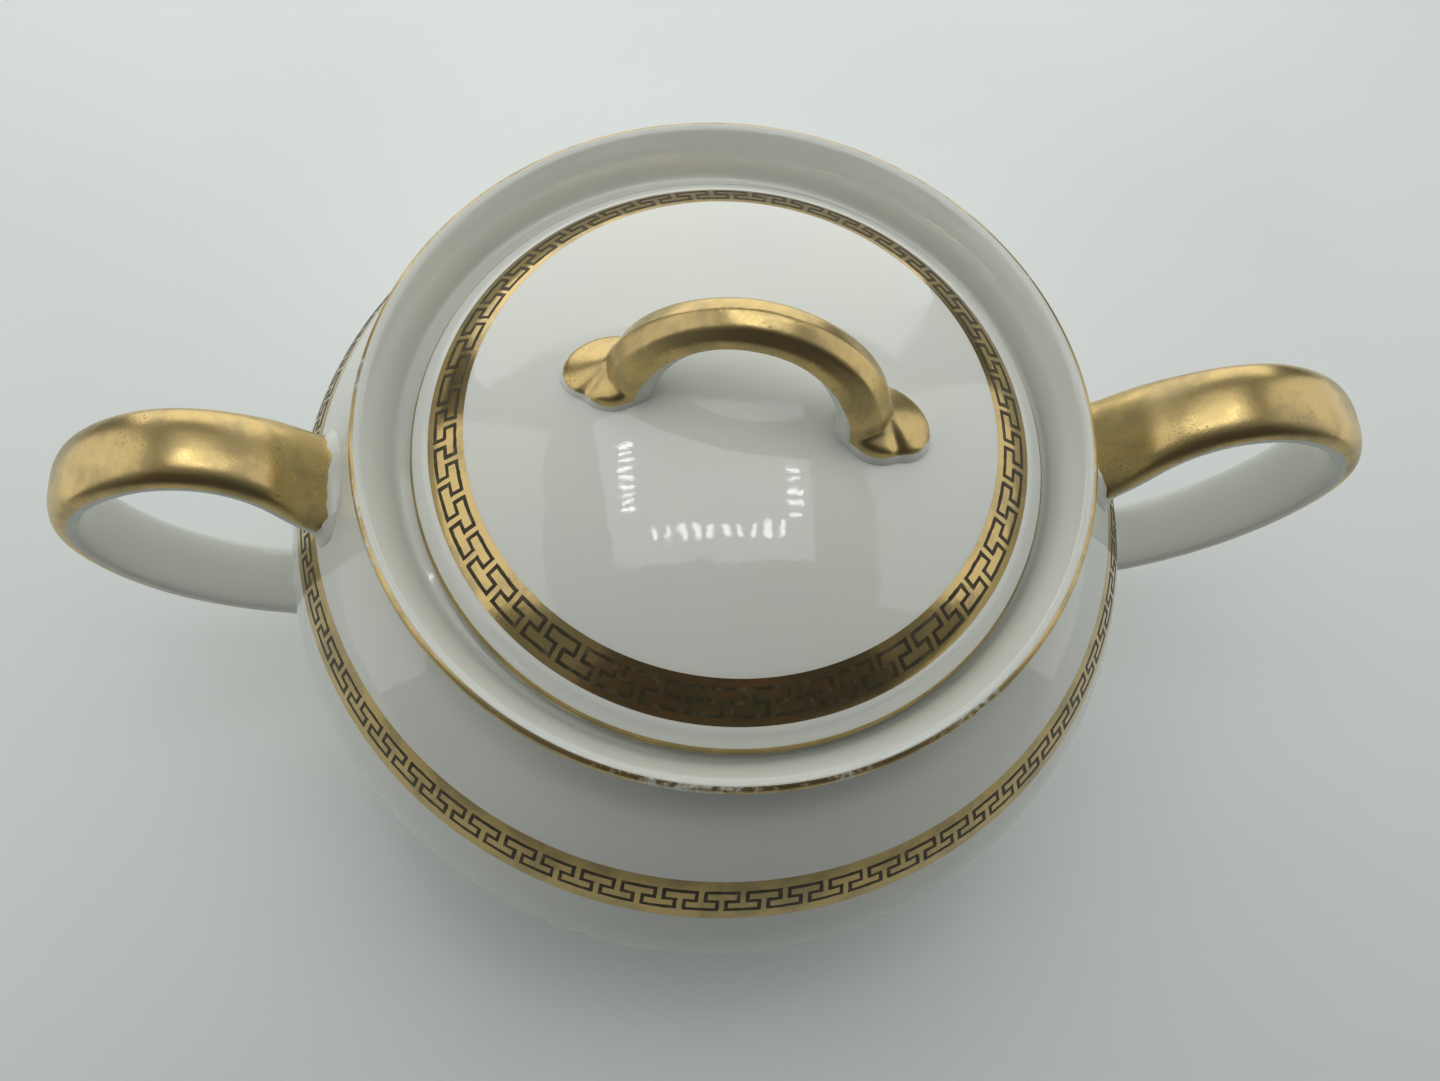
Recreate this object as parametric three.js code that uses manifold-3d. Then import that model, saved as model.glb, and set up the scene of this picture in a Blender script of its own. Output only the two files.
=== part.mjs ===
// A covered porcelain sugar bowl: a round bowl with two loop handles, and a recessed lid with a bow handle.
// Millimetres, +Z up. The origin is the middle of the circle that the foot ring stands on.
import * as THREE from "three";
import { mergeVertices } from "three/addons/utils/BufferGeometryUtils.js";
import { ParametricGeometry } from "three/addons/geometries/ParametricGeometry.js";
import Module from "manifold-3d";

const wasm = await Module();
wasm.setup();

// Driving dimensions.
const JOINT_GAP = 0.3; // between two pieces that touch
const ROUND_STEPS = 60; // facets round a turned piece
const EDGE_EASE = 0.6; // how far back from a sharp corner its rounding starts

const RIM_RADIUS = 45; // outside of the mouth's rolled edge
const RIM_HEIGHT = 72; // top of the mouth above the table
const RIM_THICKNESS = 1.8; // across the rolled edge
const BELLY_RADIUS = 60.2; // widest part of the bowl
const BELLY_HEIGHT = 34.5; // height of that widest part
const SHOULDER_REACH = 37; // half width of the ellipse that the shoulder follows
const SHOULDER_STAND = 0.26; // how far the top of the shoulder stands out from the rim
const UNDERSIDE_REACH = 34.2; // half width of the ellipse under the belly
const UNDERSIDE_SINK = 0.8; // how far that ellipse would pass below the top of the foot ring
const NECK_DEPTH = 5.4; // narrowest part of the neck, below the rim
const NECK_INSET = 2.9; // how far the neck draws in from the rim
const NECK_EASE = 2.6; // rounding of the neck's hollow
const SHOULDER_END = 3.2; // where the shoulder's ellipse gives way to the neck, below its hollow
const WALL = 3;
const FLOOR_THICKNESS = 3.6;
const FOOT_RADIUS = 33;
const FOOT_WIDTH = 3.2;
const FOOT_HEIGHT = 4;
const FOOT_RECESS = 2.6; // underside of the floor above the table
const FOOT_WAIST = 0.6; // how far the foot ring draws in where it meets the bowl

const COLLAR_WIDTH = 4.6; // from the outside of the rim in to the foot of the collar around the lid
const LID_PLAY = 1.7; // between the lid's edge and the collar around it, with the lid centred
const LID_EDGE = 2.2; // thickness of the lid's edge
const LID_WALL = 3;
const LID_TURN = -14.9; // degrees that the lid is turned from the bowl's handles
const LID_BEARING = -69; // degrees from +X to the side of its play that the lid lies at
const SEAT_DEPTH = 5.8; // the ledge that the lid rests on, below the rim
const LEDGE_WIDTH = 5.4;
const LEDGE_THICKNESS = 2.4;
const COLLAR_BEND = 2.3; // where the collar above the ledge starts to flare, above the ledge
const COLLAR_FLARE = 1; // how far the collar has spread at that bend
const FLANGE_PLAY = 1.8; // between the lid's flange and the bowl's mouth, with the lid centred
const FLANGE_LENGTH = 5.6;
const FLANGE_WIDTH = 2.7;
const FLANGE_DRAFT = 0.5; // taper of the flange towards its end
const BRIM_RISE = 1.7; // from the lid's edge to the foot of its sloping shoulder
const BRIM_WIDTH = 2.5; // from the lid's edge in to the foot of the sloping shoulder
const BAND_WIDTH = 4.6; // of the sloping shoulder, seen from above
const BAND_DROP = 3.3; // height of the sloping shoulder
const BAND_BULGE = 0.2; // how far it stands proud of a straight slope
const DOME_RISE = 6.6; // the lid's middle above the top of its shoulder

const HANDLE_REACH = 26.3; // how far each side handle stands out from the belly
const HANDLE_TOP_RISE = 0.7; // top of the side handle above the rim
const HANDLE_HALF_WIDTH = 5.2;
const HANDLE_CROWN = 2.6; // rounding of the strap's outer side
const HANDLE_BACK = 1.6; // depth of the strap's inner side
const UPPER_ROOT_DROP = 12.6; // where the strap leaves the shoulder, below the rim
const LOWER_ROOT_HEIGHT = 24.5; // where it comes back to the belly
// Where the strap widens to meet the bowl: place and length as shares of the strap, and growth in width.
const ROOT_FLARES = [
  { place: 0.06, length: 0.09, growth: 0.3 },
  { place: 0.97, length: 0.06, growth: 0.18 },
];

const BOW_SHIFT = 1.1; // how far the lid's handle was stuck on to the right of the middle
const BOW_HALF_SPAN = 13.4; // middle line of the lid handle's arch
const BOW_RISE = 15.8; // the same line above the arch's springing
const BOW_SINK = 2.3; // the springing below the middle of the dome
const BOW_HALF_WIDTH = 2.7;
const BOW_HALF_THICKNESS = 2.2;
const BOW_FOOT_GROWTH = 0.35; // how much thicker the arch is at its feet
const BOW_OVERRUN = 0.04; // how far past a half turn each foot of the arch goes
const LEAF_LENGTH = 6.6; // half length of the leaf at each foot of the arch
const LEAF_HALF_WIDTH = 5;
const LEAF_THICKNESS = 2.9;
const LEAF_OFFSET = 2; // middle of the leaf outside the foot of the arch's middle line
const LEAF_LIFT = 0.5; // middle of the leaf above the dome
const LEAF_TILT = 14; // degrees

// Sizes that follow from them.
const lipHeight = RIM_HEIGHT - SEAT_DEPTH;
const neckHeight = RIM_HEIGHT - NECK_DEPTH;
const collarFoot = RIM_RADIUS - COLLAR_WIDTH;
const mouthRadius = collarFoot - LEDGE_WIDTH;
const flangeRadius = mouthRadius - FLANGE_PLAY;
const shoulderCentre = BELLY_RADIUS - SHOULDER_REACH;
// The shoulder's ellipse is as high as it has to be for its top to come in to the neck.
const shoulderTopShare = (RIM_RADIUS + SHOULDER_STAND - shoulderCentre) / SHOULDER_REACH;
const shoulderRise = (neckHeight - SHOULDER_END - BELLY_HEIGHT) / Math.sqrt(1 - shoulderTopShare ** 2);
const undersideCentre = BELLY_RADIUS - UNDERSIDE_REACH;
const undersideDrop = BELLY_HEIGHT - FOOT_HEIGHT + UNDERSIDE_SINK;
// The lid lies loose in its seat, at one side of its play. Its heights are counted from the rim's plane.
const lidShift = Math.min(LID_PLAY, FLANGE_PLAY) - JOINT_GAP;
const lidBottom = JOINT_GAP - SEAT_DEPTH;
const lidEdgeTop = lidBottom + LID_EDGE;
const bandFoot = lidEdgeTop + BRIM_RISE;
const bandTop = bandFoot + BAND_DROP;
const lidApex = bandTop + DOME_RISE;
const lidRadius = collarFoot - LID_PLAY;
const bandOuter = lidRadius - BRIM_WIDTH;
const bandInner = bandOuter - BAND_WIDTH;
const domeRadius = (bandInner ** 2 + DOME_RISE ** 2) / (2 * DOME_RISE);
const leafCentre = BOW_HALF_SPAN + LEAF_OFFSET;

const { clamp, degToRad, lerp } = THREE.MathUtils;

// A point of a turned piece's outline: its radius, its height, and how far back from it the rounding starts.
const corner = (radius, height, ease = 0) => ({ at: new THREE.Vector2(radius, height), ease });

// Corners along an ellipse about (radius, height), from one angle to another.
function arc(radius, height, reach, rise, from, to, steps) {
  return Array.from({ length: steps + 1 }, (_, i) => {
    const angle = lerp(from, to, i / steps);
    return corner(radius + reach * Math.cos(angle), height + rise * Math.sin(angle));
  });
}

// The points of an outline, with each corner that asks for it rounded off.
function eased(corners) {
  return corners.flatMap(({ at, ease }, i) => {
    if (!ease) return [at];
    const [start, end] = [corners[i - 1], corners[i + 1]].map((next) =>
      next.at.clone().sub(at).setLength(ease).add(at),
    );
    return new THREE.QuadraticBezierCurve(start, at, end).getPoints(2);
  });
}

// The angle at which an ellipse about the belly, with a given half height, reaches a height.
const bellyAngle = (height, rise) => Math.asin(clamp((height - BELLY_HEIGHT) / rise, -1, 1));

// The bowl's outside radius at a height, anywhere between the foot and the neck.
function outsideRadius(height) {
  const above = height > BELLY_HEIGHT;
  const reach = above ? SHOULDER_REACH : UNDERSIDE_REACH;
  const rise = above ? shoulderRise : undersideDrop;
  return BELLY_RADIUS - reach + reach * Math.cos(bellyAngle(height, rise));
}

// A closed solid from a three.js geometry: only position is left, and shared vertices are merged.
function solid(geometry) {
  const bare = geometry.index ? geometry.toNonIndexed() : geometry.clone();
  bare.deleteAttribute("normal");
  bare.deleteAttribute("uv");
  const merged = mergeVertices(bare);
  return new wasm.Manifold(
    new wasm.Mesh({
      numProp: 3,
      vertProperties: merged.attributes.position.array,
      triVerts: new Uint32Array(merged.index.array),
    }),
  );
}

function geometryOf(manifold) {
  const { vertProperties, triVerts } = manifold.getMesh();
  const geometry = new THREE.BufferGeometry();
  geometry.setAttribute("position", new THREE.BufferAttribute(vertProperties, 3));
  geometry.setIndex(new THREE.BufferAttribute(triVerts, 1));
  geometry.computeVertexNormals();
  return geometry;
}

// A turned solid about Z from an outline's corners.
function turned(corners) {
  const geometry = new THREE.LatheGeometry(eased(corners), ROUND_STEPS);
  geometry.rotateX(Math.PI / 2);
  return solid(geometry);
}

// A closed tube. A function gives the point at each angle round it and share of the way along it,
// with the size of the section as 1, or 0 for the middle of an end.
function tube(surface, sides, steps) {
  const place = (u, v, target) => {
    const step = Math.round(v * steps);
    const along = clamp((step - 1) / (steps - 2), 0, 1);
    const size = step > 0 && step < steps ? 1 : 0;
    target.copy(surface(u * 2 * Math.PI, along, size));
  };
  return solid(new ParametricGeometry(place, sides, steps));
}

// A wave squared off towards its peaks by an exponent under 1.
const squared = (wave, exponent) => Math.sign(wave) * Math.abs(wave) ** exponent;

const porcelain = { color: 0xf1f2ee, roughness: 0.12, metalness: 0 };
const gilding = { color: 0xb08d3e, roughness: 0.28, metalness: 1 };

function named(name, manifold, look) {
  const mesh = new THREE.Mesh(geometryOf(manifold), new THREE.MeshStandardMaterial(look));
  mesh.name = name;
  return mesh;
}

// The bowl's outside from the foot ring up to the neck, then over its rolled edge.
function outsideOutline() {
  const footMeets = bellyAngle(FOOT_HEIGHT, undersideDrop);
  const shoulderEnd = bellyAngle(neckHeight - SHOULDER_END, shoulderRise);
  const roll = RIM_THICKNESS / 2;
  const shoulder = arc(shoulderCentre, BELLY_HEIGHT, SHOULDER_REACH, shoulderRise, 0, shoulderEnd, 9);
  return [
    corner(FOOT_RADIUS, 0, EDGE_EASE),
    corner(FOOT_RADIUS - FOOT_WAIST, FOOT_HEIGHT - FOOT_WAIST),
    ...arc(undersideCentre, BELLY_HEIGHT, UNDERSIDE_REACH, undersideDrop, footMeets, 0, 11),
    ...shoulder.slice(1),
    corner(RIM_RADIUS - NECK_INSET, neckHeight, NECK_EASE),
    ...arc(RIM_RADIUS - roll, RIM_HEIGHT - roll, roll, roll, degToRad(-20), degToRad(150), 5),
  ];
}

// The flared collar, the ledge for the lid, and the inside down to the middle of the floor.
function insideOutline() {
  const ledgeUnder = lipHeight - LEDGE_THICKNESS;
  const wallTop = bellyAngle(ledgeUnder - WALL, shoulderRise - WALL);
  const floor = FOOT_RECESS + FLOOR_THICKNESS;
  const shoulder = { reach: SHOULDER_REACH - WALL, rise: shoulderRise - WALL };
  const underside = { reach: UNDERSIDE_REACH - WALL, rise: BELLY_HEIGHT - floor };
  return [
    corner(collarFoot + COLLAR_FLARE, lipHeight + COLLAR_BEND, COLLAR_BEND / 2),
    corner(collarFoot, lipHeight, EDGE_EASE),
    corner(mouthRadius, lipHeight, EDGE_EASE),
    corner(mouthRadius, ledgeUnder, EDGE_EASE),
    ...arc(shoulderCentre, BELLY_HEIGHT, shoulder.reach, shoulder.rise, wallTop, 0, 7),
    ...arc(undersideCentre, BELLY_HEIGHT, underside.reach, underside.rise, 0, -Math.PI / 2, 11).slice(1),
    corner(0, floor),
  ];
}

function bowlBody() {
  const footInside = FOOT_RADIUS - FOOT_WIDTH;
  return turned([
    corner(0, FOOT_RECESS),
    corner(footInside, FOOT_RECESS, 2 * EDGE_EASE),
    corner(footInside, 0, EDGE_EASE),
    ...outsideOutline(),
    ...insideOutline(),
  ]);
}

// Everything inside the bowl's outside surface, grown by the joint gap, to trim the handles with.
function bowlEnvelope() {
  const grown = outsideOutline().map(({ at, ease }) => corner(at.x + JOINT_GAP, at.y, ease));
  return turned([corner(0, 0), corner(FOOT_RADIUS - FOOT_WIDTH, 0), ...grown, corner(0, RIM_HEIGHT)]);
}

// The side handle's middle line: out of the shoulder, over the top, round the tip and back to the belly.
// Each pair is a share of the way out to the tip, and of the way up its own stretch of the loop.
function handleLine() {
  const rootUp = RIM_HEIGHT - UPPER_ROOT_DROP;
  const rootLow = LOWER_ROOT_HEIGHT;
  const top = RIM_HEIGHT + HANDLE_TOP_RISE - HANDLE_CROWN;
  const tip = BELLY_RADIUS + HANDLE_REACH - HANDLE_CROWN;
  const middle = (top + rootLow) / 2;
  const stretch = (radius, low, high, shares) =>
    shares.map(([out, up]) => new THREE.Vector3(lerp(radius, tip, out), 0, lerp(low, high, up)));
  const rise = [[-0.06, -0.45], [0.08, 0.09], [0.21, 0.62], [0.37, 0.93], [0.545, 1]];
  const bend = [[0.723, 0.917], [0.885, 0.732], [0.985, 0.47], [1, 0.16], [0.938, -0.21]];
  const back = [[0.75, 0.456], [0.5, 0.19], [0.225, 0.035], [-0.09, -0.026], [-0.24, -0.04]];
  return new THREE.CatmullRomCurve3(
    [
      ...stretch(outsideRadius(rootUp), rootUp, top, rise),
      ...stretch(outsideRadius(rootUp), middle, top, bend),
      ...stretch(outsideRadius(rootLow), rootLow, middle, back),
    ],
    false,
    "centripetal",
  );
}

// A strap that is rounded on its outer side and nearly flat inside, and widens where it meets the bowl.
function sideHandle() {
  const line = handleLine();
  const across = new THREE.Vector3(0, 1, 0);
  const crown = { depth: HANDLE_CROWN, squareness: 0.9 };
  const back = { depth: HANDLE_BACK, squareness: 0.45 };
  const widening = (along) =>
    ROOT_FLARES.reduce(
      (sum, { place, length, growth }) => sum + growth * Math.exp(-(((along - place) / length) ** 2)),
      1,
    );
  const surface = (angle, along, size) => {
    const outward = new THREE.Vector3().crossVectors(line.getTangentAt(along), across).normalize();
    const side = Math.sin(angle) > 0 ? crown : back;
    const width = HANDLE_HALF_WIDTH * widening(along) * squared(Math.cos(angle), 0.75);
    const depth = side.depth * squared(Math.sin(angle), side.squareness);
    return line
      .getPointAt(along)
      .addScaledVector(across, size * width)
      .addScaledVector(outward, size * depth);
  };
  return tube(surface, 20, 36).subtract(bowlEnvelope());
}

// The lid's domed top, or a surface parallel to it at a depth, from a radius in to the middle.
function dome(depth, reach, steps) {
  const radius = domeRadius - depth;
  const corners = arc(0, lidApex - domeRadius, radius, radius, Math.acos(reach / radius), Math.PI / 2, steps);
  corners[steps] = corner(0, lidApex - depth);
  return corners;
}

function lid() {
  const flangeEnd = lidBottom - FLANGE_LENGTH;
  const flangeInside = flangeRadius - FLANGE_WIDTH;
  return turned([
    ...dome(LID_WALL, flangeInside - LID_WALL, 7).reverse(),
    corner(flangeInside, bandFoot - EDGE_EASE, 2 * EDGE_EASE),
    corner(flangeInside + FLANGE_DRAFT, flangeEnd, EDGE_EASE),
    corner(flangeRadius - FLANGE_DRAFT, flangeEnd, EDGE_EASE),
    corner(flangeRadius, lidBottom, EDGE_EASE / 2),
    corner(lidRadius, lidBottom, EDGE_EASE),
    corner(lidRadius, lidEdgeTop, EDGE_EASE),
    corner(bandOuter, bandFoot),
    corner((bandInner + bandOuter) / 2, (bandFoot + bandTop) / 2 + BAND_BULGE),
    ...dome(0, bandInner, 10),
  ]);
}

// The arch over the lid's middle, from foot to foot.
function bow() {
  const across = new THREE.Vector3(0, 1, 0);
  const squareness = 0.8;
  const surface = (angle, along, size) => {
    const turn = Math.PI * lerp(1 + BOW_OVERRUN, -BOW_OVERRUN, along);
    const out = Math.cos(turn);
    const up = Math.sin(turn);
    const outward = new THREE.Vector3(out * BOW_RISE, 0, up * BOW_HALF_SPAN).normalize();
    const girth = size * (1 + BOW_FOOT_GROWTH * Math.abs(out) ** 3);
    return new THREE.Vector3(BOW_HALF_SPAN * out, 0, lidApex - BOW_SINK + BOW_RISE * up)
      .addScaledVector(across, girth * BOW_HALF_WIDTH * squared(Math.cos(angle), squareness))
      .addScaledVector(outward, girth * BOW_HALF_THICKNESS * squared(Math.sin(angle), squareness));
  };
  return tube(surface, 16, 32);
}

// A leaf that spreads from one foot of the arch over the dome.
function leaf(turn) {
  const geometry = new THREE.SphereGeometry(1, 24, 14);
  geometry.rotateX(Math.PI / 2);
  geometry.scale(LEAF_LENGTH, LEAF_HALF_WIDTH, LEAF_THICKNESS);
  geometry.rotateY(degToRad(LEAF_TILT));
  geometry.translate(leafCentre, 0, lidApex - leafCentre ** 2 / (2 * domeRadius) + LEAF_LIFT);
  geometry.rotateZ(turn);
  return solid(geometry);
}

function lidHandle() {
  const trimmed = [
    corner(0, lidBottom),
    corner(bandInner, lidBottom),
    ...dome(-JOINT_GAP, bandInner, 10),
  ];
  const spread = bow().add(leaf(0)).add(leaf(Math.PI)).translate([BOW_SHIFT, 0, 0]);
  return spread.subtract(turned(trimmed));
}

const sugarBowl = new THREE.Group();
sugarBowl.add(named("bowl_body", bowlBody(), porcelain));

const loop = sideHandle();
const rightHandle = named("handle_right", loop, gilding);
const leftHandle = named("handle_left", loop, gilding);
leftHandle.rotation.z = Math.PI;
sugarBowl.add(rightHandle, leftHandle);

const cover = new THREE.Group();
const bearing = degToRad(LID_BEARING);
cover.position.set(lidShift * Math.cos(bearing), lidShift * Math.sin(bearing), RIM_HEIGHT);
cover.rotation.z = degToRad(LID_TURN);
cover.add(named("lid", lid(), porcelain), named("lid_handle", lidHandle(), gilding));
sugarBowl.add(cover);

export default sugarBowl;
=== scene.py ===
"""A covered porcelain sugar bowl with gilded handles and a printed key border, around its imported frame."""

import math

import bmesh
import bpy
import numpy as np
from bpy.props import FloatProperty, FloatVectorProperty, IntProperty, PointerProperty
from bpy.types import Operator, Panel, PropertyGroup
from mathutils import Matrix, Vector


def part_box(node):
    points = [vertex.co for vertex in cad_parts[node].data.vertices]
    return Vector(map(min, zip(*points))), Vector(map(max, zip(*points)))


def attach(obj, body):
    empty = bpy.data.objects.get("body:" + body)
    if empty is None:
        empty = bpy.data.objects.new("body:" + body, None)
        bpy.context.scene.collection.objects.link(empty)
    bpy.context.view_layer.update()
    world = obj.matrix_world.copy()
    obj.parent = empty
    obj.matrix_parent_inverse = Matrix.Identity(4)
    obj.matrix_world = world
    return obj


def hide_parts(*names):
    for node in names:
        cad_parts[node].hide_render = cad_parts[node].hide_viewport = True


bl_info = {
    "name": "Sugar Bowl",
    "version": (1, 0, 0),
    "blender": (4, 5, 0),
    "location": "3D View > Sidebar > Sugar Bowl",
    "description": "Builds a covered porcelain sugar bowl around its packed frame",
    "category": "Object",
}

MM = 0.001
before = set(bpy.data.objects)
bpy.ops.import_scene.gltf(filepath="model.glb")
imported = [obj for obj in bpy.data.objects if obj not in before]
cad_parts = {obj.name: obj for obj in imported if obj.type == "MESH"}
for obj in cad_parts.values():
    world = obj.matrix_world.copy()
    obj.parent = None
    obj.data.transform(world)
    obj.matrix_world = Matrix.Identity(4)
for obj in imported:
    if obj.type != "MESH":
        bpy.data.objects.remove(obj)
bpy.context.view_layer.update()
BOWL_LOW, BOWL_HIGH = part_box("bowl_body")
LID_LOW, LID_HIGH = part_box("lid")
LOOP_LOW, LOOP_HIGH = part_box("handle_right")
BOW_LOW, BOW_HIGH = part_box("lid_handle")
LID_CENTRE = (LID_LOW + LID_HIGH) / 2

ROUND_STEPS = 288  # steps round a turned piece
GOLD_LIFT = 0.02 * MM  # gold above the glaze
ENAMEL_LIFT = 0.055 * MM  # printed line above the glaze
FIRED_THICKNESS = 0.06 * MM  # of a fired-on layer, most of it sunk in the glaze
CRISP_ANGLE = math.radians(40)  # a fired layer's edge shades as a corner above this angle
RIM_LINE_START, RIM_LINE_END = -30, 74  # degrees round the rolled rim from its outermost line
EDGE_LINE_START = 0.8 * MM  # foot of the gold line above the underside of the lid's edge
EDGE_LINE_WIDTH = 1.75 * MM  # over the rounding of the lid's edge
GILT_INSET = 1.1  # bare slip left at a side handle's root, in millimetres
SCALLOP_DEPTH = 0.8  # of the gold's edge round that root, in millimetres
SKIRT_HEIGHT = 1.15  # bare porcelain left round the bow's leaves, in millimetres
LEAF_REGION = 3.2  # height over the dome that belongs to the leaves, in millimetres
BOW_GRAIN = 0.22 * MM  # finest detail kept when the bow and its leaves become one skin
BOW_SOFTENING = 18  # passes that soften the bow's ridges and hollows


def length(name, description, default):
    """A size in metres."""
    return FloatProperty(name=name, description=description, default=default, unit="LENGTH", precision=5)


def turn(name, description, degrees):
    """An angle, given here in degrees."""
    return FloatProperty(name=name, description=description, default=math.radians(degrees), subtype="ANGLE")


def watts(name, description, default):
    description += " in watts"
    return FloatProperty(name=name, description=description, default=default, min=0, precision=4)


def colour(name, description, default):
    return FloatVectorProperty(
        name=name, description=description, default=default, size=3, min=0, max=1, subtype="COLOR"
    )


class BowlSizes(PropertyGroup):
    rim_height: length("Rim height", "Top of the mouth above the table", BOWL_HIGH.z)
    rim_radius: length("Rim radius", "Outside of the rolled rim", 45 * MM)
    rim_thickness: length("Rim thickness", "Across the rolled rim", 1.8 * MM)
    belly_radius: length("Belly radius", "Widest part of the bowl", BOWL_HIGH.x)
    belly_height: length("Belly height", "Height of the widest part", 34.5 * MM)
    shoulder_reach: length("Shoulder reach", "Half width of the shoulder's ellipse", 37 * MM)
    shoulder_rise: length("Shoulder rise", "Half height of the shoulder's ellipse", 36 * MM)
    underside_reach: length("Underside reach", "Half width of the ellipse under the belly", 34.2 * MM)
    underside_sink: length("Underside sink", "How far that ellipse passes below the foot's top", 0.8 * MM)
    neck_depth: length("Neck depth", "Narrowest part of the neck below the rim", 5.4 * MM)
    neck_inset: length("Neck inset", "How far the neck draws in from the rim", 2.9 * MM)
    wall: length("Wall", "Thickness of the porcelain", 3 * MM)
    foot_radius: length("Foot radius", "Outside of the foot ring", 33 * MM)
    foot_width: length("Foot width", "Width of the foot ring", 3.2 * MM)
    foot_height: length("Foot height", "Height of the foot ring", 4 * MM)
    foot_recess: length("Foot recess", "Underside of the floor above the table", 2.6 * MM)
    floor_thickness: length("Floor thickness", "Thickness of the bowl's floor", 3.6 * MM)
    seat_depth: length("Seat depth", "The lid's ledge below the rim", 5.8 * MM)
    ledge_width: length("Ledge width", "Width of the lid's ledge", 5.4 * MM)
    ledge_thickness: length("Ledge thickness", "Thickness of the lid's ledge", 2.4 * MM)


class LidSizes(PropertyGroup):
    radius: length("Radius", "Outside of the lid's edge", 38.7 * MM)
    play: length("Play", "Between the lid's edge and the collar", 1.7 * MM)
    edge: length("Edge", "Thickness of the lid's edge", 2.2 * MM)
    wall: length("Wall", "Thickness of the dome", 3 * MM)
    brim_rise: length("Brim rise", "From the edge up to the foot of the shoulder", 1.7 * MM)
    band_inner: length("Shoulder top", "Radius of the top of the sloping shoulder", 31.6 * MM)
    band_outer: length("Shoulder foot", "Radius of the foot of the sloping shoulder", 36.2 * MM)
    band_drop: length("Shoulder drop", "Height of the sloping shoulder", 3.3 * MM)
    band_bulge: length("Shoulder bulge", "How far it stands proud of a straight slope", 0.2 * MM)
    dome_rise: length("Dome rise", "The middle above the top of the shoulder", 6.6 * MM)
    flange_play: length("Flange play", "Between the flange and the bowl's mouth", 1.8 * MM)
    flange_width: length("Flange width", "Thickness of the locating flange", 2.7 * MM)
    turned: turn("Turned", "How far the lid is turned from the side handles", -14.9)


class LoopSizes(PropertyGroup):
    half_width: length("Half width", "Half the width of the strap", 5.2 * MM)
    crown: length("Crown", "Rounding of the strap's outer side", 2.6 * MM)
    back: length("Back", "Depth of the strap's inner side", 1.6 * MM)
    root_up: length("Upper root", "Where the strap leaves the shoulder", 59.4 * MM)
    root_low: length("Lower root", "Where the strap comes back to the belly", 24.5 * MM)
    fillet: length("Fillet", "Spread of the slip where the strap meets the bowl", 1.5 * MM)


class BowSizes(PropertyGroup):
    shift: length("Shift", "How far the bow was stuck on to the right of the lid's middle", 1.1 * MM)
    half_span: length("Half span", "Middle line of the arch at its springing", 13.4 * MM)
    rise: length("Rise", "Middle line's top above the springing", 15.8 * MM)
    spring: length("Springing", "Springing of the arch above the rim", 6 * MM)
    leaf_centre: length("Leaf centre", "Middle of each leaf from the lid's axis", 15.4 * MM)
    leaf_length: length("Leaf length", "Reach of the leaf's outer lobe", 6.4 * MM)
    leaf_width: length("Leaf width", "Reach of the leaf across the bow", 5 * MM)
    leaf_thickness: length("Leaf thickness", "Height of the leaf above the dome", 2.7 * MM)


class BorderSizes(PropertyGroup):
    bowl_top: length("Bowl border top", "Upper edge of the bowl's border", 56.1 * MM)
    bowl_foot: length("Bowl border foot", "Lower edge of the bowl's border", 50.2 * MM)
    bowl_units: IntProperty(name="Bowl keys", description="Keys round the bowl", default=68, min=8)
    lid_units: IntProperty(name="Lid keys", description="Keys round the lid", default=43, min=8)
    key_height: length("Key height", "Height of the key pattern", 3.2 * MM)
    line_width: length("Line width", "Width of the printed line", 0.46 * MM)
    unevenness: length("Unevenness", "Wander of the printed line's edges", 0.03 * MM)


class Finishes(PropertyGroup):
    porcelain: colour("Porcelain", "Colour of the glazed body", (0.695, 0.71, 0.65))
    speck: colour("Speck", "Colour of the specks in the glaze", (0.16, 0.14, 0.12))
    gold: colour("Gold", "Colour of the burnished gold", (0.58, 0.43, 0.182))
    gold_dull: colour("Dull gold", "Colour of the gold where it is rubbed", (0.41, 0.32, 0.155))
    tarnish: colour("Tarnish", "Colour of the dark marks in the gold", (0.12, 0.075, 0.06))
    enamel: colour("Enamel", "Colour of the printed line", (0.045, 0.038, 0.021))
    paper: colour("Paper", "Colour of the sheet that it stands on", (0.84, 0.875, 0.853))


class StageSizes(PropertyGroup):
    azimuth: turn("Azimuth", "Camera's bearing from the front", -5.94)
    elevation: turn("Elevation", "Camera's height as an angle", 70.55)
    roll: turn("Roll", "Camera's tilt about its own axis", 2.88)
    distance: length("Distance", "Camera from its aim", 124 * MM)
    aim_side: length("Aim across", "Aim across from the bowl's axis", -13.07 * MM)
    aim_front: length("Aim in front", "Aim in front of the bowl's axis", 23.1 * MM)
    lens: FloatProperty(name="Lens", description="Focal length in millimetres", default=27.5)
    lamp_height: length("Lamp height", "Lamp ring above the table", 230 * MM)
    lamp_power: watts("Lamp power", "Power of one small lamp", 0.0009)
    screen_over: watts("Screen over", "Power of the screen over the bowl", 0.13)
    screen_behind: watts("Screen behind", "Power of the screen behind", 0.76)
    screen_left: watts("Screen left", "Power of the screen on the left", 0.42)
    screen_right: watts("Screen right", "Power of the screen on the right", 0.38)
    room_light: FloatProperty(name="Room light", description="Brightness of the room's walls", default=0.20)


def sizes(context):
    return context.scene.sugar_bowl


# Outlines of turned pieces: corners are (radius, height, how far back from it the rounding starts).


def arc(radius, height, reach, rise, start, end, steps=40):
    """Corners along an ellipse about (radius, height), from one angle to another."""
    angles = np.linspace(start, end, steps + 1)
    return [(radius + reach * math.cos(a), height + rise * math.sin(a), 0.0) for a in angles]


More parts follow.
